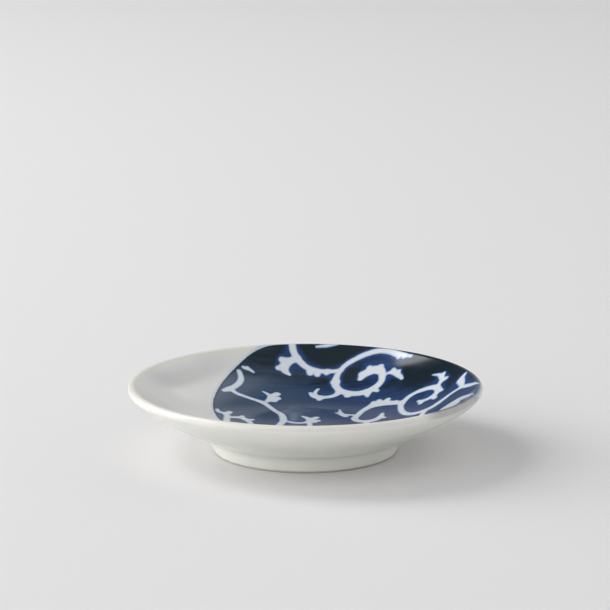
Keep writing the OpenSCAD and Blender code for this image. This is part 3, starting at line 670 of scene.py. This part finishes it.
class Surface(Nodes):
    """A Principled material. Its patterns are sized in millimetres."""

    def __init__(self, name, roughness):
        self.material = bpy.data.materials.new(name)
        self.material.use_nodes = True
        super().__init__(self.material.node_tree)
        self.shader = self.nodes["Principled BSDF"]
        self.shader.inputs["Roughness"].default_value = roughness
        self.place = self.add("TexCoord").outputs["Object"]
        self.relief = None

    def calc(self, operation, *values, clamp=False):
        return self.add("Math", enumerate(values), operation=operation, use_clamp=clamp).outputs[0]

    def times(self, value, factor):
        return self.calc("MULTIPLY", value, factor)

    def total(self, first, *others):
        for value in others:
            first = self.calc("ADD", first, value)
        return first

    def offset(self, noise, depth):
        """Noise moved to lie round zero, from peak to peak about a depth."""
        return self.times(self.calc("SUBTRACT", noise, 0.5), depth)

    def axis(self, letter):
        """A coordinate of the surface, in millimetres."""
        return self.calc("DIVIDE", self.add("SeparateXYZ", {0: self.place}).outputs[letter], MM)

    def radius(self):
        x, y = self.axis("X"), self.axis("Y")
        return self.calc("SQRT", self.total(self.times(x, x), self.times(y, y)))

    def mark(self, name):
        """A value that the mesh gives at each point."""
        return self.add("Attribute", attribute_name=name).outputs["Fac"]

    def scattered(self, kind, size, stretch=(1, 1, 1), turn=0, seed=0):
        """A texture with cells of a size, longer where stretched. Each seed gives another."""
        fit = self.add("Mapping", {"Vector": self.place, "Rotation": (0, 0, math.radians(turn)),
                                   "Location": [seed * shift for shift in SEED_SHIFTS],
                                   "Scale": [size * MM * s for s in stretch]},
                       vector_type="TEXTURE")
        return self.add(kind, {"Vector": fit.outputs[0], "Scale": 1.0})

    def noise(self, size, detail=2, **place):
        """Noise from 0 to 1 with blots of about a size."""
        made = self.scattered("TexNoise", size, **place)
        made.inputs["Detail"].default_value = detail
        return made.outputs["Fac"]

    def specks(self, size, radius, **place):
        """1 at scattered specks of a radius, in cells of a size, 0 elsewhere."""
        made = self.scattered("TexVoronoi", size, **place)
        return self.ramp(made.outputs["Distance"], radius / size, radius / size * SPECK_CORE)

    def blend(self, share, first, second):
        """The first colour where the share is 0, the second where it is 1."""
        # By number: some sockets of a Mix share a name.
        return self.add("Mix", {0: share, 6: first, 7: second}, data_type="RGBA").outputs[2]

    def scaled(self, colour, share):
        """A colour made darker or lighter by a share."""
        made = self.add("VectorMath", {0: colour[:3], "Scale": share}, operation="SCALE")
        return made.outputs[0]

    def colour(self, value):
        self.put(self.shader.inputs["Base Color"], value)

    def bump(self, height, distance):
        """Relief where a height of 1 stands for a distance in millimetres."""
        made = self.add("Bump", {"Strength": 1.0, "Distance": distance * MM, "Height": height})
        if self.relief is not None:
            self.put(made.inputs["Normal"], self.relief)
        self.relief = made.outputs[0]
        self.put(self.shader.inputs["Normal"], self.relief)


GLAZE_IOR = 1.5
GLAZE_ROUGHNESS = 0.14
ROUGHNESS_SWING = 0.03
CLAY_ROUGHNESS = 0.75
BODY_ROUGHNESS = 0.8

WHITE = srgb(236, 236, 229)
WARM_WHITE = srgb(232, 230, 220)
POOLED = srgb(231, 232, 226)
# The same glaze's whites inside the well, painted darker as the shade that falls there
SHADED_WELL_WHITE = srgb(225, 225, 223)
SHADED_WELL_POOLED = srgb(221, 221, 220)
IRON = srgb(150, 128, 104)
BLEED = srgb(162, 190, 212)
VINE_WHITE = srgb(214, 220, 225)
VINE_EDGE = srgb(152, 174, 204)
HALO_BLUE = srgb(26, 60, 112)
# Grey navy of the thinner wash at the left, lightened with a painted reflection sheen
NAVY_AND_SHEEN = srgb(50, 72, 100)
DEEP_BLUE = srgb(29, 57, 99)
BLACK_BLUE = srgb(4, 26, 38)
LINE_BLUE = srgb(18, 34, 70)
WORN_BLUE = srgb(150, 166, 188)
SMEAR_BLUE = srgb(20, 44, 84)
# Bare clay and its toasted tone, both darkened as painted shade of the gap where the foot stands
SHADED_CLAY = srgb(206, 202, 192)
TOASTED_SHADED = srgb(178, 163, 142)
BODY = srgb(232, 228, 218)

# The patterns, and the depth in millimetres of those that are relief
SEED_SHIFTS = (0.01, 0.013, 0.007)  # metres
SPECK_CORE = 0.4  # share of a speck's radius that is full
EVEN = (0.3, 0.7)  # the part of a noise that is spread over the whole range
RIPPLE, RIPPLE_DEPTH = {"size": 7, "detail": 1, "seed": 3}, 0.016
PEEL, PEEL_DEPTH = {"size": 0.8, "seed": 7}, 0.0012
GLOSS_PATCHES, GLOSS_SPAN = {"size": 5, "detail": 3, "seed": 5}, (0.2, 0.8)
TINT_PATCHES = {"size": 12, "seed": 11}
IRON_SPECKS, IRON_SHARE = {"size": 9, "radius": 0.16, "seed": 2}, 0.5
SMEAR_PATCHES = {"size": 2.5, "seed": 71}
BLEED_PATCHES = {"size": 1.2, "seed": 21}
CLOUD = {"size": 11, "detail": 3, "seed": 31}
STREAKS = {"size": 1.7, "detail": 3, "stretch": (8, 1, 1), "turn": 3, "seed": 37}
RAG = {"size": 1.1, "detail": 3, "seed": 43}
CLAY_GRAIN, CLAY_DEPTH = {"size": 0.35, "detail": 4, "seed": 51}, 0.03
CLAY_SPECKS, CLAY_SPECK_SHARE = {"size": 1.6, "radius": 0.1, "seed": 5}, 0.6
TOAST_PATCHES = {"size": 3, "seed": 53}
BODY_GRAIN, BODY_DEPTH = {"size": 0.5, "detail": 4, "seed": 61}, 0.02
GRAIN_DARKS = (0.86, 0.9)  # how dark the grain of the foot and of the body gets

# Ramps: where one starts and ends, and what it gives there where that isn't 0 and 1
LIP_WARMTH = (17.2, 19.3, 0, 0.75)  # by height: the glaze runs thin over the lip
JOINT_POOL = (1.6, 0.2, 0, 0.6)  # by height off the joint: the glaze pools there
GLAZE_END = (BARE_H + 0.5, BARE_H, 0, 0.5)  # by height: clay shows through the glaze's end
BLEED_SIDE = (-0.8, 0.25, 0, 0.6)  # by distance inside the panel: cobalt bleeds out
BLEED_LIMIT = (-0.7, 0.0)  # by distance inside the paint's limit, not beyond
SMEAR_PATCHY = (0.5, 0.9)  # swing and mean of the smear's thickness
BLEED_RAG = 0.3
THIN_WAY = (0.25, 0.85)  # way across the panel by which the deep wash thins
THIN_RIGHT = (22, 40, 0, 11)  # by X: what the right side adds to that way
THIN_WASH = (43, 17, 0, 0.95)  # by that way
THIN_CLOUD, THIN_STREAK = 0.6, 0.9  # how far clouds and streaks shift it
# The grey navy at the left is partly thinner wash and partly painted reflection sheen
NAVY_SIDE = (-10, 14)  # by X: grey navy at the left
DEEP_WASH = (0.1, 0.9)  # by thinness
RAG_SWING = 0.8
WET_CLOSE, WET_CLOUD, WET_RAG = 0.8, 0.36, 0.07
WET_EDGE = (0.1, 1.0, 0.14, 0)  # by distance from the vine
WET_RIGHT = (26, 36, 0, 0.06)  # by X
WASH_STREAK = (0.25, 0.75, 0.8, 1.2)  # by streaks: lighter and darker first wash
WASH_SHOWS = (0.17, 0.4, 0, 0.95)  # by wetness
LINE_RAG, LINE_EDGE = 0.4, (0.9, 0.3, 0, 0.85)  # by distance inside the panel
VINE_RAG, VINE_INSIDE = 0.25, (-0.05, -0.5)  # by distance from the vine
VINE_SIDE = (0.1, -0.06)
LIP_WEAR = (48.8, 49.4, 0, 0.88)  # by radius: paint is thin over the lip
TOAST_RAG, TOAST_END = 0.4, (0.5, 1.1, 0, 0.7)  # by height: toasted beside the glaze
GROUND_SMOOTH = (0.0, 0.12, 0.6, 0.85)  # by height: roughness, ground where it stands


def glassy(look):
    """What every glaze here shares: a clear, slightly uneven gloss with a faint ripple."""
    look.shader.inputs["IOR"].default_value = GLAZE_IOR
    look.bump(look.noise(**RIPPLE), RIPPLE_DEPTH)
    look.bump(look.noise(**PEEL), PEEL_DEPTH)
    rough = look.ramp(look.noise(**GLOSS_PATCHES), *GLOSS_SPAN,
                      GLAZE_ROUGHNESS - ROUGHNESS_SWING, GLAZE_ROUGHNESS + ROUGHNESS_SWING)
    look.put(look.shader.inputs["Roughness"], rough)


def white_ground(look, white, pooled):
    """White glaze: a little darker in patches, warmer where it runs thin over the lip, and with
    a few specks of iron."""
    tint = look.blend(look.ramp(look.noise(**TINT_PATCHES), *EVEN), white, pooled)
    tint = look.blend(look.ramp(look.axis("Z"), *LIP_WARMTH), tint, WARM_WHITE)
    return look.blend(look.times(look.specks(**IRON_SPECKS), IRON_SHARE), tint, IRON)


def smeared(look, colour):
    """The colour under a thin smear of paint where it runs over the lip."""
    swing, mean = SMEAR_PATCHY
    patchy = look.total(look.offset(look.noise(**SMEAR_PATCHES), swing), mean)
    share = look.calc("MULTIPLY", look.mark("smear"), patchy, clamp=True)
    return look.blend(share, colour, SMEAR_BLUE)


def white_glaze(name):
    """Clear glaze over white clay on the outside and under the dish."""
    look = Surface(name, GLAZE_ROUGHNESS)
    height = look.axis("Z")
    off_joint = look.calc("ABSOLUTE", look.calc("SUBTRACT", height, FOOT_H))
    ground = look.blend(look.ramp(off_joint, *JOINT_POOL),
                        white_ground(look, WHITE, POOLED), POOLED)
    # Where the glaze ends, the clay shows through in its colour darkened as painted shade
    ground = look.blend(look.ramp(height, *GLAZE_END), ground, SHADED_CLAY)
    look.colour(smeared(look, ground))
    glassy(look)
    return look.material


def well_glaze(name):
    """The same glaze inside the dish, its whites painted darker as the shade that falls in the
    well, with a little cobalt bled into it along the panel.
    """
    look = Surface(name, GLAZE_ROUGHNESS)
    edge = look.total(look.mark("inside_panel"),
                      look.times(look.noise(**BLEED_PATCHES), BLEED_RAG))
    bleed = look.times(look.ramp(edge, *BLEED_SIDE),
                       look.ramp(look.mark("inside_limit"), *BLEED_LIMIT))
    ground = look.blend(bleed, white_ground(look, SHADED_WELL_WHITE, SHADED_WELL_POOLED), BLEED)
    look.colour(smeared(look, ground))
    glassy(look)
    return look.material


def painted_glaze(name):
    """Cobalt under the glaze. The same rule colours every painted piece, by the distance from
    the vine and from the panel's edge, so that washes and reserve meet as brushwork does."""
    look = Surface(name, GLAZE_ROUGHNESS)
    x, y = look.axis("X"), look.axis("Y")
    vine = look.mark("from_vine")
    cloud, streak = look.noise(**CLOUD), look.noise(**STREAKS)
    rag = look.offset(look.noise(**RAG), RAG_SWING)
    # The deep wash is near black where it lies thick, bluer and greyer where it runs thin; the
    # grey navy at the left also holds a painted reflection sheen.
    way = look.total(look.times(x, THIN_WAY[0]), look.times(y, THIN_WAY[1]),
                     look.ramp(x, *THIN_RIGHT))
    thin = look.total(look.ramp(way, *THIN_WASH), look.offset(cloud, THIN_CLOUD),
                      look.offset(streak, THIN_STREAK))
    washed_and_sheen = look.blend(look.ramp(x, *NAVY_SIDE), NAVY_AND_SHEEN, DEEP_BLUE)
    ground = look.blend(look.ramp(thin, *DEEP_WASH), BLACK_BLUE, washed_and_sheen)
    # The first wash shows through along the vine, most of all inside its curls.
    wet = look.total(look.times(look.mark("closeness"), WET_CLOSE),
                     look.ramp(vine, *WET_EDGE), look.offset(cloud, WET_CLOUD),
                     look.ramp(x, *WET_RIGHT), look.times(rag, WET_RAG))
    wash = look.scaled(HALO_BLUE, look.ramp(streak, *WASH_STREAK))
    colour = look.blend(look.ramp(wet, *WASH_SHOWS), ground, wash)
    # The line along the edge of the panel.
    edge = look.total(look.mark("inside_panel"), look.times(rag, LINE_RAG))
    colour = look.blend(look.ramp(edge, *LINE_EDGE), colour, LINE_BLUE)
    # The vine left white, bluer where the glaze has carried colour into its edges.
    inner = look.ramp(look.total(vine, look.times(rag, VINE_RAG)), *VINE_INSIDE)
    white = look.blend(inner, VINE_EDGE, VINE_WHITE)
    colour = look.blend(look.ramp(vine, *VINE_SIDE), colour, white)
    # Paint that runs over the lip is thin there.
    colour = look.blend(look.ramp(look.radius(), *LIP_WEAR), colour, WORN_BLUE)
    look.colour(smeared(look, colour))
    glassy(look)
    return look.material


def grained(look, grain, colour, dark):
    """A colour that is darker in the grain."""
    return look.blend(look.ramp(grain, *EVEN), colour, look.scaled(colour, dark))


def bare_clay(name):
    """The foot's standing edge: fired clay, ground smooth, a little toasted beside the glaze. Both
    clay colours are darkened as painted shade of the gap where the foot stands.
    """
    look = Surface(name, CLAY_ROUGHNESS)
    grain, height = look.noise(**CLAY_GRAIN), look.axis("Z")
    toasted = look.total(height, look.times(look.noise(**TOAST_PATCHES), TOAST_RAG))
    colour = look.blend(look.ramp(toasted, *TOAST_END),
                        grained(look, grain, SHADED_CLAY, GRAIN_DARKS[0]), TOASTED_SHADED)
    specks = look.times(look.specks(**CLAY_SPECKS), CLAY_SPECK_SHARE)
    look.colour(look.blend(specks, colour, IRON))
    look.bump(grain, CLAY_DEPTH)
    look.put(look.shader.inputs["Roughness"], look.ramp(height, *GROUND_SMOOTH))
    return look.material


def body_clay(name):
    """The porcelain under the glaze: matt, faintly sandy."""
    look = Surface(name, BODY_ROUGHNESS)
    grain = look.noise(**BODY_GRAIN)
    look.colour(grained(look, grain, BODY, GRAIN_DARKS[1]))
    look.bump(grain, BODY_DEPTH)
    return look.material


def dress(piece, node, material):
    """A piece of the visual model takes the place of a node of the solids."""
    piece.data.materials.append(material)
    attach(piece, "root")
    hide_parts(node)


inner_points, inner_normals = inner_face()
by_radius = inner_points[::-1, 0]


def lifted(plan):
    """Places and normals on the inside of the dish above plan points."""
    radius = np.hypot(plan[:, 0], plan[:, 1])
    z = np.interp(radius, by_radius, inner_points[::-1, 1])
    out = np.interp(radius, by_radius, inner_normals[::-1, 0])
    up = np.interp(radius, by_radius, inner_normals[::-1, 1])
    size = np.hypot(out, up)
    share = out / size / np.maximum(radius, TINY)
    return np.column_stack([plan, z]), np.column_stack([plan * share[:, None], up / size])


def make_inside():
    """The inside of the dish, from the lip's widest point in, cut into glaze, line, washes and
    vine. Each is a closed skin as deep as the glaze."""
    lip_end = int(np.argmin(np.abs(inner_points[:, 0] - (RIM_R - 2 * LIP_R))))
    lip, _ = respaced((inner_points[:lip_end + 1], inner_normals[:lip_end + 1]), LIP_CELL)
    well, _ = respaced((inner_points[lip_end:], inner_normals[lip_end:]), CELL)
    plan, triangles = disc_grid(np.concatenate([lip[:, 0], well[1:, 0]]))

    def painted(x, y):
        return flowing(panel_distance(x, y), limit_distance(x, y), CORNER)

    def filled(x, y):
        return panel_distance(x, y) - LINE_W

    for field in (painted, filled):
        plan, triangles = cut_along(plan, triangles, field)
    x, y = plan[triangles].mean(1).T
    in_paint = painted(x, y) > 0
    in_ground = in_paint & (filled(x, y) > 0)
    groups = {"well_glaze": triangles[~in_paint], "panel_edge": triangles[in_paint & ~in_ground]}
    plan, ground = cut_along(plan, triangles[in_ground], vine_distance)
    plan, ground = cut_along(plan, ground, lambda x, y: vine_distance(x, y) - HALO_W)
    gap = vine_distance(*plan[ground].mean(1).T)
    groups["scroll_reserve"] = ground[gap < 0]
    groups["halo_wash"] = ground[(gap >= 0) & (gap < HALO_W)]
    groups["ground_wash"] = ground[gap >= HALO_W]

    places, normals = lifted(plan)
    x, y = plan.T
    marks = {"from_vine": vine_distance(x, y), "inside_panel": panel_distance(x, y),
             "inside_limit": limit_distance(x, y), "smear": smear_share(x, y, np.hypot(x, y)),
             "closeness": closeness(x, y)}
    dressing = {
        "well_glaze": ("inner_glaze", "white_glaze", well_glaze),
        "panel_edge": ("panel_line", "line_blue", painted_glaze),
        "ground_wash": ("dark_wash", "dark_blue", painted_glaze),
        "halo_wash": ("pale_wash", "pale_blue", painted_glaze),
        "scroll_reserve": ("vine_reserve", "reserve_white", painted_glaze),
    }
    for name, (node, slot, paint) in dressing.items():
        used, faces = np.unique(groups[name], return_inverse=True)
        piece = skin(name, places[used], normals[used], [faces.reshape(-1, 3)], GLAZE_T,
                     {key: values[used] for key, values in marks.items()})
        dress(piece, node, paint(name))


def make_outside():
    """The glaze outside, and the glaze in the hollow under the dish."""
    for name, face, low_end, node in (("wall_glaze", outer_face, True, "outer_glaze"),
                                      ("hollow_glaze", under_face, False, "underside_glaze")):
        profile = respaced(cut_above(face(), BARE_H), OUTER_CELL)
        piece = lathe_skin(name, profile, OUTER_COUNT, low_end)
        dress(piece, node, white_glaze(name))


def make_foot():
    """The ring of clay under the foot's glaze, with its bare standing edge."""
    rows = []
    for points, normals in (under_face(), outer_face()):
        under_glaze = points - GLAZE_T * normals
        rows.append(under_glaze[under_glaze[:, 1] < FOOT_H])
    section = np.concatenate(rows)
    apart = np.linalg.norm(np.diff(section, axis=0), axis=1) > SAME
    section = section[np.concatenate([[True], apart])]
    dress(lathe_solid("foot_clay", section, OUTER_COUNT), "foot_ring",
          bare_clay("foot_clay"))


def dress_body():
    """The body of the solids stays and gets its clay."""
    material = body_clay("porcelain")
    for held in bpy.data.objects["porcelain_body"].material_slots:
        held.material = material


make_inside()
make_outside()
make_foot()
dress_body()


# Stage, light and camera, in metres
FLOOR_COLOUR = srgb(230, 229, 230)
FLOOR_REACH = 6.0
FLOOR_ROUGHNESS = 0.9
FLOOR_SPECULAR = 0.1

# Strengths of the light from all round, and the parts of a direction between which they change
WORLD_SIDES = 0.7
WORLD_TOP = 0.36
TOP_RISE = (0.8, 0.88)
BACK_DEPTH = (0.2, 0.35)
HORIZON_RISE = (0.38, 0.46)
# Behind the dish, low down: dim at the left and brighter at the right
LOW_BACK_RUN = (-0.3, 0.35)
WORLD_LOW_BACK = (0.14, 0.74)
# Above that, from straight behind to the right: dark, a pale panel, a dark gap and a bright wall.
# Each step is [how far right, strength].
WORLD_BACK = ((0.0, 0.14), (0.1, 0.25), (0.14, 0.65), (0.26, 1.25), (0.335, 1.25), (0.37, 0.15),
              (0.46, 0.15), (0.56, 1.5), (0.68, 0.74))

# Soft lamps that look at the dish: azimuth, elevation, size and power in watts. Azimuth 180 is to
# the left of the dish, 270 in front of it.
LAMP_DISTANCE = 2.0
LAMPS = {
    "key": (161, 44, 1.0, 14),
    "window": (162, 11, 1.4, 27),
    "front_fill": (216, 16, 1.4, 8.5),
    "right_fill": (0, 30, 1.15, 1.5),
}

CAMERA_AT = (0.0, -0.8235, 0.2206)
CAMERA_TILT = 77.748
CAMERA_LENS = 177.35  # millimetres
CAMERA_SENSOR = 36  # millimetres
CAMERA_SHIFT = -0.5 / 610  # half a pixel
CAMERA_NEAR = 0.01


def make_floor():
    mesh = bpy.data.meshes.new("floor")
    corners = [(across * FLOOR_REACH, back * FLOOR_REACH, 0)
               for across, back in ((-1, -1), (1, -1), (1, 1), (-1, 1))]
    mesh.from_pydata(corners, [], [(0, 1, 2, 3)])
    floor = shown("floor", mesh)
    look = Surface("floor", FLOOR_ROUGHNESS)
    look.shader.inputs["Specular IOR Level"].default_value = FLOOR_SPECULAR
    look.colour(FLOOR_COLOUR)
    mesh.materials.append(look.material)


def soft_box(name, azimuth, elevation, size, power):
    """A square soft light that looks at the dish."""
    out, up = direction(elevation)
    way = Vector((*(direction(azimuth) * out), up))
    light = bpy.data.lights.new(name, "AREA")
    light.shape = "SQUARE"
    light.size = size
    light.energy = power
    lamp = shown(name, light)
    lamp.location = way * LAMP_DISTANCE
    lamp.rotation_euler = (-way).to_track_quat("-Z", "Y").to_euler()


def make_world():
    """Light from all round: even at the front and sides, weaker overhead, and in dark and
    bright stretches behind the dish, which the glaze mirrors."""
    world = bpy.data.worlds.new("studio")
    bpy.context.scene.world = world
    world.use_nodes = True
    nodes = Nodes(world.node_tree)

    def run(value, ends, low, high):
        return nodes.ramp(value, *ends, low, high, kind="LINEAR")

    x, y, z = nodes.add("SeparateXYZ", {0: nodes.add("TexCoord").outputs["Generated"]}).outputs
    steps = nodes.add("ValToRGB", {0: x})
    stops = steps.color_ramp.elements
    for i, (at, strength) in enumerate(WORLD_BACK):
        stop = stops[i] if i < len(stops) else stops.new(at)
        stop.position = at
        stop.color = (strength, strength, strength, 1.0)
    behind = run(z, HORIZON_RISE, run(x, LOW_BACK_RUN, *WORLD_LOW_BACK), steps.outputs[0])
    sides = run(y, BACK_DEPTH, WORLD_SIDES, behind)
    background = nodes.nodes["Background"]
    background.inputs["Color"].default_value = (1.0, 1.0, 1.0, 1.0)
    nodes.put(background.inputs["Strength"], run(z, TOP_RISE, sides, WORLD_TOP))


def make_camera():
    camera = bpy.data.cameras.new("camera")
    camera.lens = CAMERA_LENS
    camera.sensor_width = CAMERA_SENSOR
    camera.shift_x = CAMERA_SHIFT
    camera.clip_start = CAMERA_NEAR
    eye = shown("camera", camera)
    eye.location = CAMERA_AT
    eye.rotation_euler = (math.radians(CAMERA_TILT), 0, 0)
    bpy.context.scene.camera = eye


make_floor()
make_world()
for lamp_name, lamp_values in LAMPS.items():
    soft_box(lamp_name, *lamp_values)
make_camera()
bpy.context.scene.view_settings.view_transform = "Standard"
